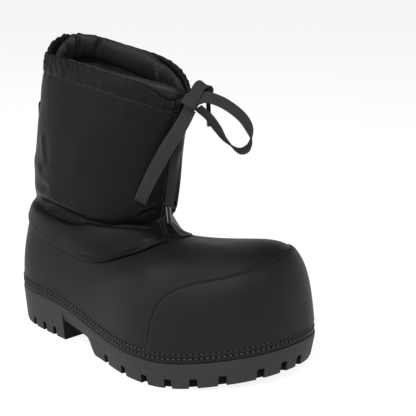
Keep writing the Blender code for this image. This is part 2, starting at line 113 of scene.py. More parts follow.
# Stations run from the toe along the outer side to the heel and back along the inner side.
# welt: edge of the sole.  seam: joint of galosh and shaft.  rise and lean: how the galosh leaves the
# sole.  reach and drop: how it comes in to the seam.
GALOSH_STATIONS = (
    # welt_x, welt_y, seam_x, seam_y, seam_z, rise, lean, reach, drop
    (170, 6, 50, 3, 117.5, 109, -5, 88, -3),
    (162, -24, 51, -6, 118.5, 102, -1, 81, -5),
    (142, -51, 50, -15, 118.5, 92, 3, 68, -3),
    (113, -77, 48, -24, 117.5, 85, 2, 55, 2),
    (78, -88, 44, -34, 115.5, 78, 2, 40, 6),
    (42, -86, 33, -45, 109, 64, 3, 26, 10),
    (8, -78, 12, -55, 99.5, 46, 5, 14, 16),
    (-28, -71.5, -18, -59.5, 91, 34, 5, 8, 18),
    (-66, -67.5, -56, -58, 90.5, 32, 4, 6, 18),
    (-104, -64.5, -96, -56, 94.5, 32, 3, 5, 18),
    (-138, -56, -131, -49, 102, 34, 3, 4, 20),
    (-162, -33, -157, -29, 110, 38, 2, 3, 22),
    (-171, 0, -166, 0, 114, 40, 2, 2, 24),
    (-164, 26, -158, 24, 111, 38, 2, 3, 22),
    (-140, 44, -134, 40, 104, 34, 3, 4, 20),
    (-106, 51, -100, 46, 97.5, 32, 3, 5, 18),
    (-66, 53, -61, 49.5, 93, 32, 4, 6, 18),
    (-28, 58, -28, 51, 93.5, 34, 5, 8, 18),
    (10, 67, -7, 46, 98, 46, 5, 16, 16),
    (46, 80, 10, 38, 103.5, 68, -1, 33, 14),
    (83, 90, 24, 29, 109, 93, -6, 59, 13),
    (119, 89, 35, 21, 112.5, 109, -8, 76, 11),
    (149, 73, 42, 15, 115, 117, -9, 87, 6),
    (167, 42, 47, 9, 116.5, 115, -8, 91, 0),
)

# crease: the deep fold above the seam.  rim: the gathered collar.  roll: how far the nylon bulges
# over the seam, below the fold.  belly: how far it swells above the fold.
SHAFT_STATIONS = (
    # crease_x, crease_y, crease_z, rim_x, rim_y, rim_z, roll, belly
    (22.5, 3, 140.5, 56, 1, 255, -9.5, -6),
    (24.5, -6, 138.5, 54, -8, 256, -6.5, -3),
    (21, -14, 132, 49, -16, 258, -1.5, 2),
    (12, -23, 127, 41, -24, 261.5, 5, 6),
    (2, -32, 126, 30, -32, 265.5, 8, 8),
    (-9, -40, 125.5, 14, -38, 269.5, 10, 9),
    (-25, -46.5, 125, -5, -41.5, 272.5, 11, 9),
    (-46, -50.5, 125, -28, -43.5, 275, 11, 9),
    (-73, -52, 125, -56, -45, 278.5, 9, 9),
    (-102, -51, 126, -83, -45.5, 281, 6, 8),
    (-130, -43.5, 127.5, -109, -40, 281.5, 3, 5),
    (-152, -26, 129, -129, -24, 281.5, 2, 3),
    (-160, 0, 130, -139, -2, 291, 2, 2),
    (-153, 22, 129, -135, 20, 295, 2, 3),
    (-132, 38, 128, -117, 36.5, 292.5, 4, 5),
    (-105, 45, 127, -91, 46, 287, 7, 7),
    (-75, 47, 126, -62, 48.5, 283, 9, 8),
    (-49, 46, 125, -36, 47.5, 280, 10, 9),
    (-28.5, 42, 124, -13, 43, 276, 5, 9),
    (-13, 36, 123.5, 5, 36, 272, -1, 8),
    (-3.5, 29, 124.5, 20, 27.5, 268, -3.5, 7),
    (6, 22, 127.5, 33, 18.5, 264.5, -6.5, 3.5),
    (17, 15, 133, 43.5, 11, 260.5, -9, -0.5),
    (20, 10, 139.5, 52, 6, 257, -10.5, -5),
)
STATIONS = len(GALOSH_STATIONS)
HEEL_STATION = 12
CENTRE_Y = 1.82

# Padded roll inside the collar: height of its top above the rim by station, the point that its inner face
# is drawn to and how far in x and y, its distance from the wall, its height, and the power that squares
# its section
PAD_TOP = (5, 5, 6, 5, 3, 1, 0, -1, -2, -2, -3, -3, -1, 1, 2, 2, 1.5, 0, -2, -2, -1, 2, 3, 4)
PAD_CENTRE = (-42.0, 0.0)
PAD_DRAW = (0.1372, 0.294)
PAD_INSET = 6.2
PAD_HEIGHT = 25.0
PAD_SQUARE = 0.8
# Folds of the padded roll: station, depth, width in stations, slant in stations over the roll's height
PAD_FOLDS = (
    (12.1, 1.0, 0.12, 0.1), (12.9, 0.9, 0.1, -0.1), (14.15, 1.0, 0.08, -0.35), (17.75, 1.1, 0.08, 0.4),
    (21.35, 1.0, 0.1, 0.35), (0.4, 0.4, 0.16, 0.1), (2.2, 0.4, 0.14, -0.2), (9.4, 0.5, 0.12, 0.2),
    (10.6, 0.7, 0.12, -0.2))
PAD_BULGE = 0.16

# Lining: its start above the sole, its distance from the wall and from the deep fold, the rings at the
# ankle by height over that fold, and the wall's part from a height up to a depth below the rim
LINING_START = 3.0
LINING_INSET = 4.2
ANKLE_INSET = 13.0
ANKLE_LIFTS = (-22.0, 0.0, 18.0)
LINING_WALL = 190.0
LINING_DROP = 22.0

# Lace, tied at the front of the collar
LACE_WIDTH = 12.0
LACE_END_WIDTH = 8.0
LACE_REAR_WIDTH = 7.4
LACE_THICKNESS = 1.8
KNOT_CENTRE = (62, -7.5, 252.5)
KNOT_HALF = (7.2, 6.0, 7.5)
KNOT_TURN = math.radians(-17)
LOOP_OUTER_ROUTE = (
    (63, -9.9, 245.2), (60, -15.5, 233), (55, -20.5, 221), (49, -24.5, 209), (42.5, -28, 196),
    (36.5, -30.8, 184), (30.9, -33.4, 173), (25.9, -35.4, 162), (22.9, -35.9, 156.5),
    (20.4, -34.4, 153.5), (19.2, -32.1, 156.5), (22.2, -30.7, 164.5), (27, -29.2, 174.5),
    (32.2, -27, 185.8), (38, -24, 198), (44.5, -20.5, 210.5), (51, -16.5, 222), (56, -12, 233),
    (59.5, -7, 244.2))
LOOP_OUTER_ACROSS = (0.715, 0.542, -0.442)
LOOP_INNER_ROUTE = (
    (64, -9, 253.5), (68.6, -5.4, 255.6), (74, 1.5, 256), (79.5, 9.5, 253), (87, 16.5, 247.6),
    (95, 24.5, 238.6), (100, 29.5, 228.6), (102, 31.5, 217.6), (99, 29.5, 207.6), (93, 23.5, 205.6),
    (85, 14.5, 215.6), (80, 9, 226.6), (75, 3, 237.5), (68.4, -4.6, 246.6))
LOOP_INNER_ACROSS = (
    *((0.264, -0.621, -0.731),) * 7, (0.5, -0.6, -0.62), (0.6, -0.63, -0.48), (0.67, -0.68, -0.2),
    (0.72, -0.55, 0.4), *((0.78, -0.2, 0.56),) * 3)
END_FRONT_ROUTE = (
    (55.5, -4.6, 243.6), (52.5, -6.5, 236), (49, -8.8, 226), (46.5, -10.5, 215), (44.4, -11, 205),
    (42.3, -10.9, 195), (39.8, -10.6, 184), (36.4, -9.4, 170), (32.6, -8, 157), (29.6, -7, 146))
END_FRONT_ACROSS = (0.87, 0.42, 0.21)
AGLET_FRONT = ((29.5, -6.95, 145.4), (33, -8, 129.8))
END_REAR_ROUTE = (
    (61, -4.4, 260.6), (62, -0.5, 265), (63, 4.5, 266.3), (64, 9.5, 262.5), (64.3, 12.3, 254),
    (64.5, 12.8, 245), (64.8, 12.8, 235))
END_REAR_ACROSS = (0.9, -0.3, 0)
AGLET_REAR = ((64.8, 12.8, 234.4), (65.4, 13.4, 226))
AGLET_RADIUS = 2.4
AGLET_SIDE = (0.712, 0.702, 0)
KNOT_BAND = (
    (62.5, -11, 245), (66.5, -11.8, 251), (68, -9, 258), (67, -3.5, 264), (66, 2.5, 267), (66.3, 8, 265.5),
    (66, 10.5, 260.5), (63, 8, 254.5), (60, 1, 252))
KNOT_BAND_ACROSS = (0.695, 0.507, -0.483)
KNOT_BAND_WIDTH = 11.0
KNOT_WRAP_CENTRE = (61.6, -7.8, 250.6)
KNOT_WRAP_FORWARD = (0.716, 0.542, -0.444)
KNOT_WRAP_TOWARD = (0.678, -0.687, 0.26)
KNOT_WRAP_ACROSS = (-0.167, -0.483, -0.86)
KNOT_WRAP_WIDTH = 9.0
KNOT_WRAP_BOW = (
    (-7.0, 0.5), (-6.9, 5.0), (-5.4, 8.6), (-2.5, 10.4), (1.0, 10.8), (4.6, 9.6), (6.6, 6.5), (7.0, 2.0))

# Webbing loop on the back seam: heights of its ends, and how far it stands off
TAPE_HEIGHTS = (225, 202)
TAPE_REACH = 13.0
TAPE_WIDTH = 18.0
TAPE_THICKNESS = 2.0

# Fineness of the visible skins
GALOSH_SKIN_COLUMNS = 480
SHAFT_SKIN_COLUMNS = 540
CAP_SKIN_COLUMNS = 260
CAP_SKIN_ROWS = 64
ROLL_COLUMNS = 560
ROLL_POINTS = 48
LINING_COLUMNS = 160

# Rand: height above the sole, and how far it stands proud
RAND_PROFILE = (
    (0.0, 0.5), (0.8, 0.9), (2.6, 1.0), (3.5, 0.75), (4.4, 0.35), (5.3, 0.75), (6.2, 1.1), (7.2, 1.1),
    (8.1, 0.6), (9.0, 0.1), (9.9, 0.35), (10.8, 0.45), (12.3, 0.3), (16.0, 0.0))
RAND_TOP = 12.3
RAND_STITCH_ROWS = (4.4, 9.0)
RAND_PITCH = 5.2
CAP_PITCH = 3.1
CAP_STITCH_ROW = 2.2
CAP_STITCH_SLANT = math.radians(48)

# Tunnel hem of the collar
HEM_DEPTH = 17.5
HEM_SWELL = 0.6
RIM_RADIUS = 2.6
# Puckers lean along the rim, in stations for each millimetre down
HEM_SLANT = 0.034

# Strength round the boot, as bumps: station, width in stations, strength
GATHERS = ((9.6, 1.5, 0.8), (2.6, 1.2, 0.5), (20.0, 2.6, 0.22))
PUCKERS = ((9.0, 1.8, 1.0), (12.4, 0.9, 0.25), (20.6, 1.6, 0.4))
# Lip of the nylon over the galosh
SEAM_LIP = ((6.6, 2.6, 1.4), (18, 2.6, 0.6))
# Fullness of the shaft's front
FRONT_SWELL = ((23.0, 1.7, 1.6),)
# The drawn cord pulls the hem down beside the knot
HEM_DIP = ((2.5, 1.15, 7.5),)
# Crumpled back corner of the rim, a round peak and sharp ones
RIM_PEAK = ((11.5, 0.55, 4.0),)
SHARP_PEAKS = ((12.35, 0.16, 2.6), (13.1, 0.12, 1.4))
# Where the deep fold runs straight in
FOLD_CORNER = ((11.3, 1.3, 1.0),)

# Rounding of the deep fold: station, width in stations, reach in rows, rounds
FOLD_ROUNDING = ((9.0, 2.6, 18, 60), (11.0, 1.0, 22, 260))
FOLD_ROW = 3

# Folds of the shaft: line, depth along the normal, half width.  Ridges are positive, troughs negative.
SOFT_FOLDS = (
    (((-136, -40, 138), (-120, -48, 140), (-102, -53, 141.5), (-84, -55, 140), (-66, -54, 137),
      (-34, -50, 131)), 4.2, 4.6),
    (((-137, -40, 127.5), (-120, -47, 129), (-106, -51, 130.5), (-93, -52, 129.5), (-78, -52, 128),
      (-60, -52, 126), (-38, -50, 126)), -11.0, 5.0),
    (((-163, 10, 127), (-159, -12, 127), (-150, -29, 127), (-138, -40, 127.5), (-120, -47, 129)), -3.2, 2.6),
    (((-44, -50, 126), (-16, -48, 127), (1, -44, 128), (23, -31, 128), (34, -17, 127)), -1.7, 1.9),
    (((-45, -62, 96), (-16, -62, 96.5), (8, -57, 100), (27, -48, 110), (37, -38, 119),
      (38, -25, 125)), -1.5, 2.6),
    (((-126, -50, 152), (-107, -54, 150), (-94, -55, 144)), -1.5, 8.0),
    (((-140, -36, 172), (-126, -47, 168), (-108, -53, 166)), 1.6, 6.0),
    (((-112, -49, 204), (-108, -51, 190), (-103, -53, 172)), 0.9, 4.5),
    (((-103, -50, 206), (-99, -52, 190), (-95, -54, 172)), -0.6, 5.0),
    (((5, -41, 250), (7, -41, 243), (10, -40, 235), (15, -39, 227), (22, -36, 219)), 0.8, 4.0),
    (((42, 2, 200), (37, -1, 180), (33, -4, 164), (28, -7, 150)), 1.1, 2.6),
    (((45, 5, 216), (39, 1, 198), (34, -6, 180)), -1.0, 2.6),
    (((40, 5, 178), (34, 0, 160), (28, -7, 142)), -1.0, 2.4),
    (((40, -25, 252), (46, -18, 247), (51, -11, 246)), -1.4, 2.2),
    (((-20, -49, 240), (-45, -51, 200), (-60, -54, 165)), 0.9, 16.0),
    (((10, -42, 210), (0, -46, 180), (-12, -50, 152)), -0.9, 14.0),
    (((10, -38, 134), (20, -31, 138), (30, -17, 142)), -0.8, 2.0),
    (((6, -41, 131), (18, -33, 132.5), (30, -17, 133)), 0.7, 1.8),
    (((14, -36, 136), (22, -29, 143), (31, -17, 149)), 0.6, 2.0),
    (((-20, 45, 126), (4, 37, 127), (20, 22, 128), (30, 8, 129)), -2.0, 2.6),
    (((-110, 46, 127), (-75, 48, 126), (-45, 48, 126), (-15, 44, 126)), -3.4, 5.0),
    (((-60, 51, 150), (-30, 50, 158), (0, 42, 160), (22, 28, 152)), 1.4, 6.0),
    (((-100, 49, 175), (-60, 52, 165), (-25, 50, 140)), -1.4, 8.0),
    (((-90, 48, 240), (-70, 51, 205), (-62, 52, 170)), 1.0, 12.0),
    (((-150, -18, 190), (-150, 2, 170), (-146, 20, 152)), -1.2, 7.0),
    (((-154, -12, 150), (-156, 4, 145), (-150, 22, 142)), 1.2, 5.0),
)
SHARP_FOLDS = (
    (((-127, -46, 160), (-108, -53, 158), (-95, -55, 154), (-85, -55, 147), (-77, -55, 137)), 1.3, 2.0),
)
FRONT_SEAM = (
    (48, -11, 238), (44, -12, 218), (38, -12, 193), (33, -11, 173), (27, -10, 152), (23, -8, 138),
    (28, -13, 128), (44, -22, 122))
FRONT_SEAM_DEPTH = -0.6
FRONT_SEAM_WIDTH = 1.2

# Camera at the photo's angle
CAMERA_EYE = (0.8493, -0.78552, 0.4480)
CAMERA_AZIMUTH = math.radians(44.597)
CAMERA_ELEVATION = math.radians(15.070)
CAMERA_LENS = 105.16
CAMERA_SENSOR = 36.0

# Studio, in metres: reach of the floor to each side and height of the far walls
FLOOR_REACH = 9.0
WALL_HEIGHT = 2.4
FLOOR_TONE = (0.2, 0.2, 0.2, 1)
FLOOR_GLOW = 0.88
SKY_STRENGTH = 0.02
WHITE = (1, 1, 1, 1)
# Lights: name, place, target, size, power
LIGHT_TINT = (1.0, 0.97, 1.0)
LIGHTS = (
    ("overhead", (0.35, -0.35, 1.8), (0, 0, 0.1), (2.0, 2.0), 10.0),
    ("left", (-0.95, -1.30, 0.85), (0, 0, 0.12), (0.9, 1.2), 7.0),
    ("right", (0.75, 1.15, 0.85), (0, 0, 0.12), (0.6, 1.2), 1.0),
    ("front", (1.05, -1.0, 1.45), (0.08, 0, 0.12), (1.3, 0.6), 25),
    ("top_left", (-0.9, -0.6, 1.6), (0, 0, 0.12), (1.0, 1.0), 10.2),
    ("toe", (1.6, 0.4, 1.1), (0, 0, 0.12), (0.8, 0.8), 6.4),
    ("back", (-1.2, 1.0, 1.3), (0, 0, 0.12), (1.0, 1.0), 1.6),
    ("side", (-0.1, -1.7, 1.0), (0, 0, 0.12), (1.0, 1.0), 7.0),
)

# Surfaces: dark and light tone, size of patches, roughness, size of grain, bump, specular level, warmth
SURFACES = {
    "nylon": (0.0042, 0.0058, 90, (0.40, 0.50), 0.55, 0.12, 0.094),
    "lining": (0.008, 0.011, 40, (0.42, 0.52), 0.5, 0.15, 0.18),
    "inner_cloth": (0.06, 0.08, 40, (0.7, 0.8), 0.6, 0.2, 0.15),
    "coated_leather": (0.0080, 0.0100, 70, (0.44, 0.54), 0.8, 0.12, 0.128),
    "rubber": (0.024, 0.030, 45, (0.55, 0.68), 1.1, 0.2, 0.18, 0.012),
    # Near-black rubber: painted shade in the notches, on the heel breast and under the sole
    "rubber_painted_shade": (0.005, 0.007, 20, (0.75, 0.85), 1.1, 0.2, 0.1),
    "thread": (0.017, 0.025, 9, (0.5, 0.65), 0.4, 0.3, 0.5),
    "dark_thread": (0.018, 0.027, 9, (0.5, 0.65), 0.4, 0.3, 0.5),
    "cap_thread": (0.013, 0.018, 9, (0.5, 0.65), 0.4, 0.3, 0.2),
    # Near-black beads in the needle holes: painted shade
    "needle_hole_shade": (0.003, 0.004, 9, (0.9, 0.95), 0.4, 0.1, 0.0),
    "insole_cloth": (0.012, 0.018, 15, (0.85, 0.95), 0.8, 0.5, 0.5),
}
# Ribbed surfaces: tone of the grooves, darker as painted shade, tone of the ribs, lighter on the aglet as a
# painted highlight, share of metal
RIBBED_SURFACES = {"lace": (0.007, 0.028), "webbing": (0.008, 0.018), "aglet_metal": (0.02, 0.22, 0.6)}


class Loop:
    """Closed smooth curve through rows of numbers, read at any row position u."""

    def __init__(self, rows):
        self.rows = np.array(rows, float)
        self.size = len(self.rows)
        ring = np.eye(self.size)
        system = 4 * ring + np.roll(ring, 1, axis=1) + np.roll(ring, -1, axis=1)
        ahead = np.roll(self.rows, -1, axis=0)
        behind = np.roll(self.rows, 1, axis=0)
        self.bend = np.linalg.solve(system, 6 * (ahead - 2 * self.rows + behind))

    def at(self, u):
        u = np.atleast_1d(np.asarray(u, float))
        first = np.floor(u).astype(int) % self.size
        second = (first + 1) % self.size
        t = (u - np.floor(u))[:, None]
        s = 1 - t
        straight = self.rows[first] * s + self.rows[second] * t
        return straight + ((s ** 3 - s) * self.bend[first] + (t ** 3 - t) * self.bend[second]) / 6


GALOSH = Loop(GALOSH_STATIONS)
SHAFT = Loop(SHAFT_STATIONS)
SOLE_OUTLINE = GALOSH.at(np.linspace(0, STATIONS, 960))[:, :2]


def ease(start, end, x):
    t = np.clip((x - start) / (end - start), 0, 1)
    return t * t * (3 - 2 * t)


def unit(v):
    return v / np.linalg.norm(v, axis=-1, keepdims=True)


def spring(x):
    return np.maximum(0, (x - SPRING_START) / SPRING_RUN) ** 2


def sole_top(x):
    return HEEL_TOP + (FOREFOOT_TOP - HEEL_TOP) * ease(*TOP_FALL, x) + TOE_TOP_RISE * spring(x)


def sole_bottom(x):
    """Heel block, arch with its breast, flat forefoot and toe spring."""
    run = (x - BREAST_X) / (ARCH_END_X - BREAST_X)
    arch = (ARCH_HEIGHT - ARCH_DROP * run) * (1 - ease(ARCH_FALL, 1.0, run))
    inside = (x > BREAST_X) & (x < ARCH_END_X)
    return np.where(inside, arch, 0.0) + TOE_SPRING * spring(x)


def bezier(a, b, c, d, steps):
    t = np.linspace(0, 1, steps)[None, :, None]
    s = 1 - t
    return (a[:, None] * s ** 3 + 3 * b[:, None] * s * s * t
            + 3 * c[:, None] * s * t * t + d[:, None] * t ** 3)


def normals(grid):
    """Outward normals of a grid whose first axis goes round and whose second goes up."""
    round_step = np.gradient(grid, axis=0)
    up_step = np.gradient(grid, axis=1)
    return unit(np.cross(up_step, round_step))


def galosh_lines(u):
    """Smooth lines up the galosh from the sole to the seam, one for each u."""
    row = GALOSH.at(u)
    foot = np.stack([row[:, 0], row[:, 1], sole_top(row[:, 0]) + GAP], axis=1)
    seam = row[:, 2:5]
    outward = foot - seam
    outward[:, 2] = 0
    outward = unit(outward)
    foot = foot - GALOSH_INSET * outward
    up = np.array((0.0, 0.0, 1.0))
    rise, lean, reach, drop = (row[:, k:k + 1] for k in range(5, 9))
    low = foot + up * rise + outward * lean
    high = seam + outward * reach - up * drop
    return bezier(foot, low, high, seam, GALOSH_STEPS)


def ring(count):
    """Station numbers of so many columns round the boot."""
    return np.arange(count) * STATIONS / count


def travelled(line):
    """Distance along a line at each of its points."""
    return np.concatenate(([0], np.cumsum(np.linalg.norm(np.diff(line, axis=0), axis=1))))


def read_line(line, keys, places):
    """Points of a line where its keys, such as its heights, have given values."""
    return np.stack([np.interp(places, keys, line[:, k]) for k in range(3)], axis=-1)


def along(line, distances):
    """Points at given distances along one line."""
    return read_line(line, travelled(line), distances)


def on_lines(lines, distances):
    """Points at given distances along each of several lines."""
    return np.array([along(line, row) for line, row in zip(lines, distances)])


def line_lengths(lines):
    return np.linalg.norm(np.diff(lines, axis=1), axis=2).sum(axis=1)


def seam_way(u):
    """Direction in which the galosh comes in to the seam."""
    row = GALOSH.at(u)
    outward = unit(row[:, 0:2] - row[:, 2:4])
    return unit(np.concatenate((-outward * row[:, 7:8], row[:, 8:9]), axis=1))


def shaft_outward(u, column):
    """Level outward directions of the shaft's crease or rim; column is where its x stands in a station."""
    step = (SHAFT.at(u + 0.05) - SHAFT.at(u - 0.05))[:, column:column + 2]
    return unit(np.stack((-step[:, 1], step[:, 0], np.zeros(len(u))), axis=1))


def shaft_lines(u):
    """Lines up the shaft: the roll over the seam, the crease, then the wall up to the rim."""
    seam = GALOSH.at(u)[:, 2:5] + seam_way(u) * GAP
    row = SHAFT.at(u)
    fold = row[:, 0:3]
    rim = row[:, 3:6]
    roll = row[:, 6:7]
    belly = row[:, 7:8]
    tangent = (SHAFT.at(u + 0.05) - SHAFT.at(u - 0.05))[:, 0:3]
    chord = fold - seam
    bulge = unit(np.cross(chord, tangent))
    start = 0.12 + 0.02 * np.maximum(0, -roll)
    low = bezier(seam, seam + bulge * roll + chord * start,
                 fold + bulge * roll * 1.2 - chord * 0.05, fold, ROLL_ROWS)
    outward = shaft_outward(u, 0)
    rise = rim - fold
    high = bezier(fold, fold + outward * belly + rise * 0.10,
                  rim - rise * 0.35 + outward * belly * 0.35, rim, WALL_ROWS)
    return np.concatenate((low, high[:, 1:]), axis=1)


def shaft_wall_point(u, z):
    """Point on the shaft's wall, above the crease, at a height."""
    line = shaft_lines(np.array([u]))[0][ROLL_ROWS - 1:]
    return read_line(line, line[:, 2], z)


def outline_sides(x):
    """The sole's outer and inner edge at each x."""
    points = np.roll(SOLE_OUTLINE, -np.argmax(SOLE_OUTLINE[:, 0]), axis=0)
    heel = np.argmin(points[:, 0])
    outer = points[:heel + 1][::-1]
    inner = points[heel:]
    return np.interp(x, outer[:, 0], outer[:, 1]), np.interp(x, inner[:, 0], inner[:, 1])


def smooth_route(points, steps):
    """Smooth curve through the points of a route."""
    points = np.array(points, float)
    padded = np.concatenate((2 * points[:1] - points[1:2], points, 2 * points[-1:] - points[-2:-1]))
    route = []
    for a, b, c, d in zip(padded, padded[1:], padded[2:], padded[3:]):
        for t in np.arange(steps) / steps:
            route.append(b + 0.5 * t * (c - a + t * (2 * a - 5 * b + 4 * c - d + t * (3 * (b - c) + d - a))))
    return np.array(route + [points[-1]])


def world(points):
    return (np.asarray(points, float) - np.array((0, CENTRE_Y, 0))) * MM


def fade(values, centre, width):
    return np.exp(-((values - centre) / width) ** 2)


def ring_gap(u, centre):
    """Distance in stations round the boot."""
    gap = np.abs(u - centre) % STATIONS
    return np.minimum(gap, STATIONS - gap)


def bumps(u, places):
    """Sum of round bumps at stations."""
    return sum(strength * fade(ring_gap(u, place), 0, width) for place, width, strength in places)


def looped_normals(grid):
    looped = np.concatenate((grid[-1:], grid, grid[:1]))
    return normals(looped)[1:-1]


def crease(points, line, depth, width, sharp):
    """Trough or ridge along a line, fading at its ends: how far each point moves along its normal."""
    line = smooth_route(line, 6)
    steps = np.linalg.norm(np.diff(line, axis=0), axis=1)
    start = travelled(line)
    best = np.full(points.shape[:-1], 1e9)
    place = np.zeros(points.shape[:-1])
    for a, b, step, before in zip(line, line[1:], steps, start):
        t = np.clip((points - a) @ (b - a) / step ** 2, 0, 1)
        gap = np.linalg.norm(points - a - t[..., None] * (b - a), axis=-1)
        nearer = gap < best
        place = np.where(nearer, (before + t * step) / start[-1], place)
        best = np.where(nearer, gap, best)
    ends = np.clip(6.5 * place * (1 - place), 0, 1)
    shape = np.exp(-best / width) if sharp else np.exp(-(best / width) ** 2)
    return depth * shape * ends


def wander(points, size, seed):
    """Smooth noise of a given size in millimetres."""
    flat = points.reshape(-1, 3) / size + seed
    values = np.array([noise.noise(Vector(p)) for p in flat.tolist()])
    return values.reshape(points.shape[:-1])


def place_object(name, data):
    made = bpy.data.objects.new(name, data)
    bpy.context.scene.collection.objects.link(made)
    return made


def add_piece(mesh, material, nodes=()):
    """Piece with its mesh's name, on the body, in place of nodes of the solid part."""
    mesh.materials.append(material)
    piece = place_object(mesh.name, mesh)
    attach(piece, "root")
    if nodes:
        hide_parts(*nodes)
    return piece


def grid_mesh(name, grid, closed=True, tube=False):
    """Quads over a grid whose first axis goes round; a tube closes along the second axis too."""
    columns, rows = grid.shape[:2]
    c = np.arange(columns if closed else columns - 1)[:, None]
    r = np.arange(rows if tube else rows - 1)[None, :]
    near = c * rows
    far = (c + 1) % columns * rows
    up = (r + 1) % rows
    faces = np.stack((near + r, near + up, far + up, far + r), axis=-1).reshape(-1, 4)
    mesh = bpy.data.meshes.new(name)
    mesh.from_pydata(world(grid).reshape(-1, 3).tolist(), [], faces.tolist())
    mesh.shade_smooth()
    return mesh


def loft_mesh(name, sections):
    """Closed body through sections with equally many points, capped at both ends."""
    sections = np.asarray(sections, float)
    mesh = grid_mesh(name, sections, closed=False, tube=True)
    work = bmesh.new()
    work.from_mesh(mesh)
    work.verts.ensure_lookup_table()
    count = sections.shape[1]
    last = (len(sections) - 1) * count
    work.faces.new([work.verts[k] for k in range(count)])
    work.faces.new([work.verts[last + k] for k in range(count)])
    bmesh.ops.recalc_face_normals(work, faces=work.faces)
    work.to_mesh(mesh)
    work.free()
    return mesh


def rand_height(distance):
    profile = np.array(RAND_PROFILE)
    return np.interp(distance, profile[:, 0], profile[:, 1])


def galosh_skin():
    lines = galosh_lines(ring(GALOSH_SKIN_COLUMNS))
    rand_rows = np.linspace(0, RAND_TOP, 30)
    shares = np.linspace(0, 1, 46)[1:]
    distances = np.array([np.concatenate((rand_rows, RAND_TOP + shares * (length - RAND_TOP)))
                          for length in line_lengths(lines)])
    grid = on_lines(lines, distances)
    proud = rand_height(distances) + 0.45 * wander(grid, 38, 3.7) * ease(12, 30, distances)
    return grid + proud[..., None] * looped_normals(grid)


def cap_edge(count):
    """Points along the cap's edge: station number and reach, evenly spaced."""
    edge = smooth_route([(a, b, 0) for a, b in CAP_EDGE], 8)
    run = travelled(edge * (STATION_PITCH, 1, 1))
    return read_line(edge, run, np.linspace(0, run[-1], count))[:, :2]


def galosh_points(u, reach):
    """Points and normals on the plain galosh at station numbers and distances up from the sole."""
    lines = galosh_lines(u % STATIONS)
    ahead = galosh_lines((u + 0.02) % STATIONS)
    points = []
    facing = []
    for line, other, distance in zip(lines, ahead, reach):
        here, above = along(line, (distance, distance + 0.5))
        beside = along(other, (distance,))[0]
        points.append(here)
        facing.append(unit(np.cross(above - here, beside - here)))
    return np.array(points), np.array(facing)


def cap_skin():
    """Overlay with a rounded edge and a stitch channel along it."""
    edge = cap_edge(CAP_SKIN_COLUMNS)
    lines = galosh_lines(edge[:, 0] % STATIONS)
    rows = 1 - (1 - np.linspace(0, 1, CAP_SKIN_ROWS)) ** 1.5
    distances = CAP_LOW + rows[None, :] * (edge[:, 1:] - CAP_LOW)
    grid = on_lines(lines, distances)
    ends = [(station, CAP_LOW) for station in (edge[0, 0], edge[-1, 0])]
    border = np.concatenate((ends[:1], edge, ends[1:])) * (STATION_PITCH, 1)
    border = np.concatenate([np.linspace(a, b, 4)[:-1] for a, b in zip(border, border[1:])])
    flat = np.stack((np.repeat(edge[:, :1], CAP_SKIN_ROWS, axis=1) * STATION_PITCH, distances), axis=-1)
    inside = np.array([np.linalg.norm(row[:, None] - border[None], axis=2).min(axis=1) for row in flat])
    height = CAP_HEIGHT * np.sqrt(np.clip(inside / CAP_ROUNDING, 0, 1)) - CAP_SINK
    height -= 0.75 * fade(inside, CAP_STITCH_ROW, 1.2)
    height += 0.12 * fade(inside, 5.5, 1.6)
    height += 0.45 * wander(grid, 42, 9.1) * ease(4, 16, inside)
    return grid + height[..., None] * normals(grid)


def gather_waves(u):
    """Uneven waves of the drawn-up collar, and how strong they are round it."""
    run = u * 19.0
    waves = np.sin(run * 2 * math.pi / 12.5 + 1.4 * np.sin(run / 17.0))
    waves += 0.6 * np.sin(run * 2 * math.pi / 7.9 + 2.0)
    waves += 0.5 * np.sin(run * 2 * math.pi / 21.0 + 0.7)
    return waves * (0.14 + bumps(u, GATHERS))


def scallops(u):
    """Rounded bumps with sharp notches where the drawn hem puckers."""
    run = u * 25.0
    shape = np.abs(np.sin(math.pi * (run + 2.4 * np.sin(run / 8.3)) / 8.6)) ** 0.7 - 0.7
    return shape * bumps(u, PUCKERS)


def shaft_moves(u, grid, facing, below, rows):
    """How far folds, seams and the cloth's unevenness move the shaft's skin along its normals."""
    move = np.zeros(grid.shape[:2])
    folds = [(*fold, False) for fold in SOFT_FOLDS] + [(*fold, True) for fold in SHARP_FOLDS]
    folds.append((FRONT_SEAM, FRONT_SEAM_DEPTH, FRONT_SEAM_WIDTH, False))
    for line, depth, width, sharp in folds:
        move += crease(grid, nearest_on_skin(grid, facing, line)[0], depth, width, sharp)
    # The nylon's lower edge is turned under and stands over the galosh as a lip
    step = np.linalg.norm(np.diff(grid, axis=1), axis=2)
    climb = np.concatenate((np.zeros((len(u), 1)), np.cumsum(step, axis=1)), axis=1)
    lip = 1.2 + bumps(u, SEAM_LIP)
    move += lip[:, None] * ease(0, 2.2, climb) * np.exp(-(climb / 7) ** 2)
    move += HEM_SWELL * np.sin(math.pi * np.clip(below / HEM_DEPTH, 0, 1))
    move -= 0.9 * fade(below, HEM_DEPTH, 1.5)
    front = ease(4, 16, rows) * (1 - 0.6 * ease(30, 80, rows))
    move += bumps(u, FRONT_SWELL)[:, None] * front * ease(10, 40, below)
    wall = ease(128, 150, grid[..., 2])
    move += 1.3 * wander(grid, 62, 1.3) * wall * ease(10, 35, below)
    move += 0.35 * wander(grid, 20, 5.9) * (0.4 + 0.6 * wall)
    return move


def round_fold(grid, u, rows):
    """Round the inside of the deep fold."""
    for place, width, reach, rounds in FOLD_ROUNDING:
        soft = (fade(ring_gap(u, place), 0, width)[:, None] * fade(rows, FOLD_ROW, reach))[..., None]
        for _ in range(rounds):
            grid[:, 1:-1] += 0.5 * soft[:, 1:-1] * ((grid[:, :-2] + grid[:, 2:]) / 2 - grid[:, 1:-1])
            grid += 0.3 * soft * ((np.roll(grid, 1, axis=0) + np.roll(grid, -1, axis=0)) / 2 - grid)


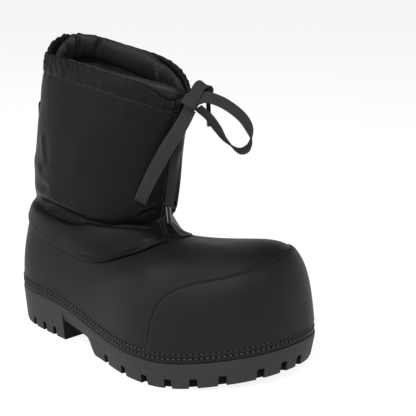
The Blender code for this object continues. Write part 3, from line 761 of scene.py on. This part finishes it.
def shaft_skin():
    """Nylon tube with its folds and gathers, and the hem that turns in over the rim."""
    u = ring(SHAFT_SKIN_COLUMNS)
    grid = shaft_lines(u)
    facing = looped_normals(grid)
    below = SHAFT.at(u)[:, 5:6] - grid[..., 2]
    rows = np.arange(grid.shape[1])[None] - ROLL_ROWS
    waves = gather_waves(u)[:, None]
    puckers = scallops(u[:, None] + HEM_SLANT * below)
    drawn = 1 - ease(0, 14, below)
    move = shaft_moves(u, grid, facing, below, rows)
    move += waves * 0.75 * (1 - ease(4, 30, below)) + puckers * 3.0 * drawn
    # Round the back corner the deep fold runs straight in, so that its walls do not cross
    level = unit(facing[:, ROLL_ROWS + 40] * (1, 1, 0))[:, None]
    corner = (bumps(u, FOLD_CORNER)[:, None] * fade(rows, FOLD_ROW, 30))[..., None]
    grid = grid + move[..., None] * (facing + corner * (level - facing))
    round_fold(grid, u, rows)
    depth = np.clip(below, 0, None)
    grid[..., 2] -= RIM_RADIUS * np.exp(-depth / 12)
    grid[..., 2] += (waves * 0.55 + puckers * 4.4) * np.exp(-depth / 7)
    peak = bumps(u, RIM_PEAK)
    for place, width, height in SHARP_PEAKS:
        peak += height * np.exp(-ring_gap(u, place) / width)
    grid[..., 2] += peak[:, None] * drawn
    grid[..., 2] -= bumps(u, HEM_DIP)[:, None] * (1 - ease(0, 20, below))
    # The hem turns over the rim and runs down inside
    outward = unit(facing[:, -1] * (1, 1, 0))
    up = np.array((0, 0, 1.0))
    centre = grid[:, -1] - outward * RIM_RADIUS
    turns = np.linspace(0, math.pi, 9)[1:]
    over = [centre + RIM_RADIUS * (math.cos(t) * outward + math.sin(t) * up) for t in turns]
    over += [over[-1] - drop * up for drop in (3.0, 8.0, 15.0)]
    return np.concatenate((grid, np.stack(over, axis=1)), axis=1)


def squared(turn, power):
    """Cosine and sine of a turn, drawn out towards a square."""
    return [np.sign(v) * np.abs(v) ** power for v in (np.cos(turn), np.sin(turn))]


def collar_roll():
    """Padded lining roll inside the collar, pinched where it folds."""
    u = ring(ROLL_COLUMNS)
    across, up = squared(np.arange(ROLL_POINTS) * 2 * math.pi / ROLL_POINTS, PAD_SQUARE)
    depth = PAD_HEIGHT / 2 * (1 - up)
    share = (1 - across) / 2
    fold = np.zeros((ROLL_COLUMNS, ROLL_POINTS))
    for place, strength, width, slant in PAD_FOLDS:
        gap = ring_gap(u[:, None], place + slant * (depth / PAD_HEIGHT)[None])
        notch = np.exp(-gap / width) - PAD_BULGE * fade(gap, 3.2 * width, 1.7 * width)
        fold += strength * notch * (1 - 0.7 * depth / PAD_HEIGHT)[None]
    fold = np.minimum(fold, 1.1)
    tops = SHAFT.at(u)[:, 5] + Loop([(top,) for top in PAD_TOP]).at(u)[:, 0] - 2.4 * fold[:, ROLL_POINTS // 4]
    centre = np.array(PAD_CENTRE)
    walls = shaft_lines(u)[:, ROLL_ROWS - 1:]
    grid = []
    for line, top, facing, pinch in zip(walls, tops, shaft_outward(u, 3)[:, :2], fold):
        wall = read_line(line, line[:, 2], top - depth)[:, :2]
        drawn = (share * (1 - 0.42 * pinch))[:, None] * np.array(PAD_DRAW)
        place = centre + (wall - facing * PAD_INSET - centre) * (1 - drawn)
        grid.append(np.concatenate((place, (top - depth)[:, None]), axis=1))
    grid = np.array(grid)
    stretched = grid * (1, 1, 0.4)
    soft = 0.5 * wander(stretched, 13, 2.2) + 0.9 * wander(stretched, 34, 6.4)
    return grid + (soft * ease(0.1, 0.5, share))[..., None] * looped_normals(grid)


def inner_lining():
    """Fabric inside the boot: along the galosh, in past the deep fold, and up to the collar roll."""
    u = ring(LINING_COLUMNS)
    lines = galosh_lines(u)
    shares = np.linspace(0, 1, 16)
    low = on_lines(lines, LINING_START + shares * (line_lengths(lines)[:, None] - LINING_START))
    low = low - LINING_INSET * looped_normals(low)
    row = SHAFT.at(u)
    outward = shaft_outward(u, 0)
    ankle = row[:, 0:3] - outward * ANKLE_INSET
    rings = [ankle + np.array((0, 0, lift)) for lift in ANKLE_LIFTS]
    walls = shaft_lines(u)[:, ROLL_ROWS - 1:]
    for share in np.linspace(0, 1, 12):
        height = LINING_WALL + share * (row[:, 5] - LINING_DROP - LINING_WALL)
        wall = np.array([read_line(line, line[:, 2], z) for z, line in zip(height, walls)])
        rings.append(wall - outward * (LINING_INSET + 2 * (1 - share)))
    return np.concatenate((low, np.stack(rings, axis=1)), axis=1)


def sole_side(x, y, inward, edge):
    """Section of one side of the sole from its top to its foot, with a point just above the notches."""
    top = float(sole_top(x))
    lip = top - SOLE_LIP
    foot_x = x * SOLE_DRAFT_X
    foot_y = y * SOLE_DRAFT_Y
    bottom = float(sole_bottom(np.array(foot_x)))
    share = min(0.9, (NOTCH_HEIGHT + 1.2) / (lip - bottom))
    middle = [low + (high - low) * share for low, high in ((foot_x, x), (foot_y, y), (bottom, lip))]
    turn = 0.3 * edge
    return [(x, y + inward * edge, top), (x, y + inward * turn, top - turn), (x, y, top - edge), (x, y, lip),
            middle, (foot_x, foot_y, bottom + edge), (foot_x, foot_y + inward * turn, bottom + turn),
            (foot_x, foot_y + inward * edge, bottom)]


def sole_mesh():
    back = SOLE_OUTLINE[:, 0].min()
    front = SOLE_OUTLINE[:, 0].max()
    x = (back + front) / 2 - (front - back) / 2 * np.cos(np.linspace(0.01, 0.99, 190) * math.pi)
    breast = BREAST_X / SOLE_DRAFT_X
    x = x[np.abs(x - breast) > 0.8]
    x = np.sort(np.concatenate((x, (breast - 0.01, breast + 0.25))))
    sections = []
    for station, low_y, high_y in zip(x, *outline_sides(x)):
        edge = min(SOLE_EDGE, (high_y - low_y) / 6)
        outer = sole_side(station, low_y, 1, edge)
        inner = sole_side(station, high_y, -1, edge)
        centre = (low_y + high_y) / 2
        foot = (outer[-1][0], centre, outer[-1][2])
        sections.append(outer + [foot] + inner[::-1] + [(station, centre, outer[0][2])])
    return loft_mesh("rubber_sole", sections)


def tread_cutter():
    """Slots across the edge and two channels, wider at the mouth."""
    work = bmesh.new()
    shift = Matrix.Translation((0, -CENTRE_Y * MM, 0))

    def block(centre, size, turn):
        matrix = shift @ Matrix.Translation(Vector(centre) * MM) @ Matrix.Rotation(turn, 4, "Z")
        matrix = matrix @ Matrix.Diagonal((*(Vector(size) * MM), 1))
        made = bmesh.ops.create_cube(work, size=1, matrix=matrix)
        middle = matrix.translation
        side = matrix.to_3x3() @ Vector((0, 1, 0))
        side.normalize()
        for vert in made["verts"]:
            if vert.co.z < middle.z:
                vert.co += side * GROOVE_FLARE * MM * (1 if (vert.co - middle).dot(side) > 0 else -1)

    for places, width in ((FOREFOOT_GROOVES, GROOVE_WIDTH), (HEEL_GROOVES, HEEL_GROOVE_WIDTH)):
        for place in places:
            edge = GALOSH.at(place)[0, :2]
            step = GALOSH.at(place + 0.1)[0, :2] - GALOSH.at(place - 0.1)[0, :2]
            turn = math.atan2(step[1], step[0]) - math.pi / 2
            low = float(sole_bottom(edge[0:1])[0])
            centre = (*(edge * (SOLE_DRAFT_X, SOLE_DRAFT_Y)), low)
            block(centre, (GROOVE_LENGTH, width, 2 * NOTCH_HEIGHT), turn)
    for start, end, y in CHANNELS:
        block(((start + end) / 2, y, 0), (end - start, CHANNEL_WIDTH, CHANNEL_HEIGHT), 0)
    mesh = bpy.data.meshes.new("tread_cutter")
    work.to_mesh(mesh)
    work.free()
    return place_object("tread_cutter", mesh)


def cut_sole(material, shade):
    sole = add_piece(sole_mesh(), material, ("outsole",))
    cutter = tread_cutter()
    cut = sole.modifiers.new("tread", "BOOLEAN")
    cut.operation = "DIFFERENCE"
    cut.object = cutter
    cut.material_mode = "TRANSFER"
    # The notches' faces take the cutter's dark rubber: painted shade
    cutter.data.materials.append(shade)
    apply_modifiers(sole)
    bpy.data.objects.remove(cutter)
    # Heel breast, arch and tread get the dark rubber too: painted shade under the boot
    for face in sole.data.polygons:
        breast = face.normal.x > 0.7 and abs(face.center.x / MM - BREAST_X) < 3
        if breast or face.normal.z < -0.3:
            face.material_index = 1
    sole.data.set_sharp_from_angle(angle=math.radians(35))
    even = sole.modifiers.new("normals", "WEIGHTED_NORMAL")
    even.keep_sharp = True
    apply_modifiers(sole)


def apply_modifiers(piece):
    graph = bpy.context.evaluated_depsgraph_get()
    made = bpy.data.meshes.new_from_object(piece.evaluated_get(graph), depsgraph=graph)
    old = piece.data
    piece.modifiers.clear()
    piece.data = made
    bpy.data.meshes.remove(old)


def keep_rib_shade(mesh, heights):
    """Keep the height of the ribs at each point: the colour is painted darker where it is low, as shade."""
    kept = mesh.attributes.new("rib", "FLOAT", "POINT")
    kept.data.foreach_set("value", heights.astype(np.float32))
    return mesh


def ribbon_mesh(name, route, across, width, thickness, ribs):
    """Ribbed tape along a route."""
    forward = unit(np.gradient(route, axis=0))
    across = np.broadcast_to(np.asarray(across, float), route.shape)
    across = unit(across - forward * (across * forward).sum(axis=1, keepdims=True))
    face = np.cross(forward, across)
    side = np.linspace(-1, 1, 6 * ribs + 1)
    bulge = np.abs(np.cos(side * ribs * math.pi / 2 + (ribs % 2 + 1) * math.pi / 2))
    depth = (0.72 + 0.28 * bulge) * np.sqrt(np.clip(1 - np.abs(side) ** 10, 0, 1)) * thickness / 2
    flat = route[:, None] + side[None, :, None] * across[:, None] * width / 2
    lift = depth[None, :, None] * face[:, None]
    mesh = loft_mesh(name, np.concatenate((flat + lift, (flat - lift)[:, -2:0:-1]), axis=1))
    # The grooves between the ribs are painted darker: painted shade
    return keep_rib_shade(mesh, np.tile(np.concatenate((bulge, bulge[-2:0:-1])), len(route)))


def lace_piece(name, points, across, width, material, node):
    """Lace along a route; the direction across it may change on the way."""
    route = smooth_route(points, 14)
    if np.ndim(across) == 2:
        across = smooth_route(across, 14)
    mesh = ribbon_mesh(name, route, across, width, LACE_THICKNESS, 6)
    return add_piece(mesh, material, (node,)), route


def knot_meshes():
    """Half hitch: a core of folded lace, the band that goes over it and folds down behind, and the wrap."""
    columns = 96
    turn = np.linspace(0, 2 * math.pi, columns + 1)[:-1]
    rise = np.linspace(-1, 1, 41)
    c = math.cos(KNOT_TURN)
    s = math.sin(KNOT_TURN)
    spin = np.array(((c, -s, 0), (s, c, 0), (0, 0, 1)))
    ring_size = np.sqrt(np.clip(1 - np.abs(rise) ** 2.6, 0, 1))
    half_x, half_y, half_z = KNOT_HALF
    core = np.stack((np.cos(turn)[:, None] * ring_size * half_x, np.sin(turn)[:, None] * ring_size * half_y,
                     np.broadcast_to(rise * half_z, (columns, len(rise)))), axis=-1)
    ribs = np.sin(rise * 16)
    core *= (1 + 0.05 * np.cos(turn * 3 + 0.6)[:, None] * ring_size + 0.035 * ribs[None])[..., None]
    core = grid_mesh("lace_wraps", core @ spin.T + np.array(KNOT_CENTRE))
    # The wraps' grooves are painted darker: painted shade
    keep_rib_shade(core, np.tile(0.5 + 0.5 * ribs, columns))
    band_route = smooth_route(KNOT_BAND, 12)
    band = ribbon_mesh("lace_band", band_route, KNOT_BAND_ACROSS, KNOT_BAND_WIDTH, LACE_THICKNESS, 6)
    forward = np.array(KNOT_WRAP_FORWARD)
    toward = np.array(KNOT_WRAP_TOWARD)
    bow = [np.array(KNOT_WRAP_CENTRE) + forward * run + toward * out for run, out in KNOT_WRAP_BOW]
    wrap_route = smooth_route(bow, 8)
    wrap = ribbon_mesh("lace_wrap", wrap_route, KNOT_WRAP_ACROSS, KNOT_WRAP_WIDTH, LACE_THICKNESS, 5)
    return core, band, wrap


def aglet_mesh(name, ends):
    """Flat clamp folded over the lace's end: two edges painted bright as a highlight beside a sunk middle
    painted dark as shade.
    """
    start, end = (np.array(p, float) for p in ends)
    axis = unit(end - start)
    side = np.array(AGLET_SIDE)
    side = unit(side - axis * (side @ axis))
    face = np.cross(axis, side)
    length = np.linalg.norm(end - start)
    profile = ((0, 0.2), (0, 0.9), (0.3, 1.0), (length - 0.6, 1.0), (length, 0.85), (length, 0.15))
    wide, deep = squared(np.linspace(0, 2 * math.pi, 65)[:-1], 0.6)
    middle = 1 - ease(0.42, 0.62, np.abs(wide))
    deep = deep * (1 - 0.45 * middle)
    grid = [[start + axis * run + size * AGLET_RADIUS * (w * side + 0.6 * d * face) for run, size in profile]
            for w, d in zip(wide, deep)]
    # Edges painted bright as a highlight, the sunk middle painted dark as shade
    return keep_rib_shade(grid_mesh(name, np.array(grid)), np.repeat(1 - middle, len(profile)))


def stitch_mesh(name, points, forward, facing, length, radius):
    """Rows of thread stitches, one small bowed bead each."""
    half = ((-1.0, 0.25, -0.5), (-0.8, 0.75, -0.1), (-0.3, 1.0, 0.25))
    rings = half + tuple((-run, size, lift) for run, size, lift in half[::-1])
    turn = np.arange(6) * math.pi / 3
    across = np.cross(facing, forward)
    verts = []
    faces = []
    for centre, ahead, side, up in zip(points, forward, across, facing):
        base = len(verts)
        for run, size, lift in rings:
            for t in turn:
                verts.append(centre + ahead * run * length / 2 + side * math.cos(t) * size * radius
                             + up * (math.sin(t) * size * 0.8 + lift) * radius)
        for k in range(len(rings) - 1):
            for j in range(6):
                a = base + k * 6 + j
                b = base + k * 6 + (j + 1) % 6
                faces.append((a, b, b + 6, a + 6))
        faces.append(tuple(base + j for j in range(5, -1, -1)))
        faces.append(tuple(base + 30 + j for j in range(6)))
    mesh = bpy.data.meshes.new(name)
    mesh.from_pydata(world(verts).tolist(), [], faces)
    mesh.shade_smooth()
    return mesh


def even_places(line, pitch, shift=0.5):
    """Places of stitches along a line, as fractions of its rows."""
    run = travelled(line)
    count = max(2, int(run[-1] / pitch))
    return np.interp((np.arange(count) + shift) / count * run[-1], run, np.arange(len(line)))


def at_rows(line, rows):
    return read_line(line, np.arange(len(line)), rows)


def stitch_row(line, normal, pitch, shift=0.5):
    """Places, directions and normals of stitches along a line."""
    rows = even_places(line, pitch, shift)
    here = at_rows(line, rows)
    return here, unit(np.gradient(here, axis=0)), unit(at_rows(normal, rows))


def join_rows(rows):
    return [np.concatenate(part) for part in zip(*rows)]


def rand_stitches(shift, lift):
    """Stitches of the two rand rows, or with a shift of half a pitch the dark beads of painted shade in the
    holes between them.
    """
    u = np.linspace(0, STATIONS, 961)
    found = []
    for reach in RAND_STITCH_ROWS:
        line, normal = galosh_points(u, np.full(len(u), reach))
        found.append(stitch_row(line + normal * (rand_height(reach) + lift), normal, RAND_PITCH, shift))
    return join_rows(found)


def cap_stitches(shift, lift):
    """One close row of slanted stitches along the cap's edge, or the dark beads of painted shade in the holes
    between them.
    """
    flat = cap_edge(700) * (STATION_PITCH, 1)
    way = unit(np.gradient(flat, axis=0))
    into = np.stack((way[:, 1], -way[:, 0]), axis=1)
    inner = (flat + into * CAP_STITCH_ROW) / (STATION_PITCH, 1)
    line, normal = galosh_points(inner[:, 0], inner[:, 1])
    here, ahead, up = stitch_row(line + normal * lift, normal, CAP_PITCH, shift)
    return here, ahead * math.cos(CAP_STITCH_SLANT) + np.cross(up, ahead) * math.sin(CAP_STITCH_SLANT), up


def row_on_skin(skin, choose, pitch, lift):
    """Stitches along one point of each column of a skin."""
    columns = np.arange(len(skin) + 1) % len(skin)
    line = skin[columns, choose[columns]]
    facing = looped_normals(skin)[columns, choose[columns]]
    return stitch_row(line + facing * lift, facing, pitch)


def nearest_on_skin(skin, facing, targets):
    flat = skin.reshape(-1, 3)
    turned = facing.reshape(-1, 3)
    chosen = [int(np.argmin(((flat - p) ** 2).sum(axis=1))) for p in targets]
    return flat[chosen], turned[chosen]


def seam_stitches(skin, gap, pitch):
    """Two rows of stitches beside the front seam."""
    line = smooth_route(FRONT_SEAM, 12)
    facing = looped_normals(skin)
    base, up = nearest_on_skin(skin, facing, line)
    way = unit(np.gradient(line, axis=0))
    found = []
    for side in (-gap, gap):
        moved = base + np.cross(up, way) * side
        here, turned = nearest_on_skin(skin, facing, at_rows(moved, even_places(moved, pitch)))
        found.append((here + turned * 0.1, unit(np.gradient(here, axis=0)), turned))
    return join_rows(found)


def tape_mesh():
    """Folded webbing loop on the back seam."""
    clear = np.array((-GAP - 0.7, 0, 0))
    top, foot = (shaft_wall_point(HEEL_STATION, z) + clear for z in TAPE_HEIGHTS)
    outer_x = min(top[0], foot[0]) - TAPE_REACH

    def bend(end, way):
        return [end, ((end[0] + outer_x) / 2, 0, end[2] + 0.4 * way), (outer_x + 3, 0, end[2] - way),
                (outer_x + 0.4, 0, end[2] - 4 * way)]

    points = bend(top, 1) + [(outer_x, 0, (top[2] + foot[2]) / 2)] + bend(foot, -1)[::-1]
    return ribbon_mesh("back_tape", smooth_route(points, 8), (0, 1, 0), TAPE_WIDTH, TAPE_THICKNESS, 9)


def set_inputs(node, values):
    for socket, value in values.items():
        node.inputs[socket].default_value = value


def surface(name, dark, light, patch, roughness, grain, bump, specular, warm=0.0):
    """Principled surface: colour and roughness drift over patches, and a fine grain goes into its bump."""
    made = bpy.data.materials.new(name)
    made.use_nodes = True
    nodes = made.node_tree.nodes
    shader = nodes["Principled BSDF"]
    place = nodes.new("ShaderNodeTexCoord")
    clouds = nodes.new("ShaderNodeTexNoise")
    tint = nodes.new("ShaderNodeValToRGB")
    gloss = nodes.new("ShaderNodeMapRange")
    fine = nodes.new("ShaderNodeTexNoise")
    relief = nodes.new("ShaderNodeBump")
    for stop, position, level in zip(tint.color_ramp.elements, (0.32, 0.68), (dark, light)):
        stop.position = position
        stop.color = (level * (1 + warm), level, level * (1 - warm), 1)
    set_inputs(shader, {"Specular IOR Level": specular})
    set_inputs(clouds, {"Scale": 1000 / patch, "Detail": 4})
    set_inputs(gloss, {"From Min": 0.3, "From Max": 0.7, "To Min": roughness[0], "To Max": roughness[1]})
    set_inputs(fine, {"Scale": 1000 / grain, "Detail": 3})
    set_inputs(relief, {"Strength": bump, "Distance": 0.0004})
    for source, output, target, entry in (
            (place, "Object", clouds, "Vector"), (place, "Object", fine, "Vector"),
            (clouds, "Fac", tint, "Fac"), (tint, "Color", shader, "Base Color"),
            (clouds, "Fac", gloss, "Value"), (gloss, "Result", shader, "Roughness"),
            (fine, "Fac", relief, "Height"), (relief, "Normal", shader, "Normal")):
        made.node_tree.links.new(source.outputs[output], target.inputs[entry])
    return made


def ribbed_surface(name, shaded_groove, rib, metallic=0.0):
    """Woven tape: light cords and grooves painted darker as shade, with the weft in its bump."""
    made = surface(name, shaded_groove, rib, 12, (0.7, 0.85), 0.6, 0.45, 0.22)
    nodes = made.node_tree.nodes
    ribs = nodes.new("ShaderNodeAttribute")
    ribs.attribute_name = "rib"
    tint = next(node for node in nodes if node.bl_idname == "ShaderNodeValToRGB")
    made.node_tree.links.new(ribs.outputs["Fac"], tint.inputs["Fac"])
    set_inputs(nodes["Principled BSDF"], {"Metallic": metallic})
    return made


def area_light(name, place, target, size, power):
    lamp = bpy.data.lights.new(name, "AREA")
    lamp.shape = "RECTANGLE"
    lamp.size, lamp.size_y = size
    lamp.energy = power
    lamp.color = LIGHT_TINT
    light = place_object(name, lamp)
    light.location = place
    light.rotation_euler = (Vector(target) - Vector(place)).to_track_quat("-Z", "Y").to_euler()


def make_studio():
    """Soft lights over a plain pale floor with low pale walls far off."""
    scene = bpy.context.scene
    scene.view_settings.view_transform = "Standard"
    sky = bpy.data.worlds.new("studio")
    sky.use_nodes = True
    set_inputs(sky.node_tree.nodes["Background"], {"Color": WHITE, "Strength": SKY_STRENGTH})
    scene.world = sky
    for light in LIGHTS:
        area_light(*light)
    floor = bpy.data.meshes.new("floor")
    corners = ((-1, -1), (1, -1), (1, 1), (-1, 1))
    places = [(x * FLOOR_REACH, y * FLOOR_REACH, z) for z in (0, WALL_HEIGHT) for x, y in corners]
    sides = [(k, (k + 1) % 4, (k + 1) % 4 + 4, k + 4) for k in range(4)]
    floor.from_pydata(places, [], [(0, 1, 2, 3)] + sides)
    pale = bpy.data.materials.new("floor")
    pale.use_nodes = True
    set_inputs(pale.node_tree.nodes["Principled BSDF"], {
        "Base Color": FLOOR_TONE, "Roughness": 0.9, "Specular IOR Level": 0.0,
        "Emission Color": WHITE, "Emission Strength": FLOOR_GLOW})
    floor.materials.append(pale)
    ground = place_object("floor", floor)


def make_camera():
    a = CAMERA_AZIMUTH
    e = CAMERA_ELEVATION
    right = Vector((math.cos(a), math.sin(a), 0))
    back = Vector((math.sin(a) * math.cos(e), -math.cos(a) * math.cos(e), math.sin(e)))
    matrix = Matrix((right, back.cross(right), back)).transposed().to_4x4()
    matrix.translation = CAMERA_EYE
    lens = bpy.data.cameras.new("camera")
    lens.lens = CAMERA_LENS
    lens.sensor_width = CAMERA_SENSOR
    camera = place_object("camera", lens)
    camera.matrix_world = matrix
    bpy.context.scene.camera = camera


def main():
    make_camera()
    make_studio()
    look = {name: surface(name, *values) for name, values in SURFACES.items()}
    look.update({name: ribbed_surface(name, *values) for name, values in RIBBED_SURFACES.items()})

    lace = look["lace"]
    metal = look["aglet_metal"]
    for name, points, across, width, node in (
            ("lace_outer", LOOP_OUTER_ROUTE, LOOP_OUTER_ACROSS, LACE_WIDTH, "lace_loop_outer"),
            ("lace_inner", LOOP_INNER_ROUTE, LOOP_INNER_ACROSS, LACE_WIDTH, "lace_loop_inner"),
            ("lace_front", END_FRONT_ROUTE, END_FRONT_ACROSS, LACE_END_WIDTH, "lace_end_front"),
            ("lace_rear", END_REAR_ROUTE, END_REAR_ACROSS, LACE_REAR_WIDTH, "lace_end_rear")):
        piece, route = lace_piece(name, points, across, width, lace, node)
    core, band, wrap = knot_meshes()
    add_piece(core, lace, ("lace_knot",))
    add_piece(band, lace)
    add_piece(wrap, lace)
    tip_front = add_piece(aglet_mesh("tip_front", AGLET_FRONT), metal, ("aglet_front",))
    tip_rear = add_piece(aglet_mesh("tip_rear", AGLET_REAR), metal, ("aglet_rear",))

    coated = look["coated_leather"]
    add_piece(grid_mesh("galosh", galosh_skin()), coated, ("upper",))
    add_piece(grid_mesh("toe_cap_panel", cap_skin(), closed=False), coated, ("toe_cap",))
    skin = shaft_skin()
    add_piece(grid_mesh("nylon_shaft", skin), look["nylon"], ("shaft",))
    roll = grid_mesh("lining_roll", collar_roll(), tube=True)
    roll = add_piece(roll, look["lining"], ("collar_roll",))
    add_piece(grid_mesh("inner_lining", inner_lining()[::-1]), look["inner_cloth"])
    add_piece(tape_mesh(), look["webbing"], ("pull_tab",))
    cut_sole(look["rubber"], look["rubber_painted_shade"])
    frame["nodes"]["insole"].data.materials.clear()
    frame["nodes"]["insole"].data.materials.append(look["insole_cloth"])

    # Stitches, and dark beads of painted shade in the needle holes: name, places, length, radius, surface,
    # slot
    wall = skin[:, :ROLL_ROWS + WALL_ROWS - 1]
    plain = shaft_lines(ring(len(skin)))[..., 2]
    hem = np.argmin(np.abs(plain[:, -1:] - plain - HEM_DEPTH), axis=1)
    for name, places, length, radius, thread, slot_name in (
            ("rand_stitches", rand_stitches(0.5, 0.45), 4.1, 0.68, "thread", "upper"),
            ("rand_hole_shade", rand_stitches(0.0, 0.25), 1.9, 0.95, "needle_hole_shade", "upper"),
            ("cap_stitches", cap_stitches(0.5, 1.05), 3.6, 0.5, "cap_thread", "toe_cap"),
            ("cap_hole_shade", cap_stitches(0.0, 0.95), 2.2, 0.42, "needle_hole_shade", "toe_cap"),
            ("hem_stitches", row_on_skin(wall, hem, 3.0, 0.15), 1.9, 0.33, "thread", "nylon"),
            ("seam_stitches", seam_stitches(wall, 1.9, 2.8), 1.8, 0.32, "dark_thread", "nylon")):
        add_piece(stitch_mesh(name, *places, length, radius), look[thread])


main()
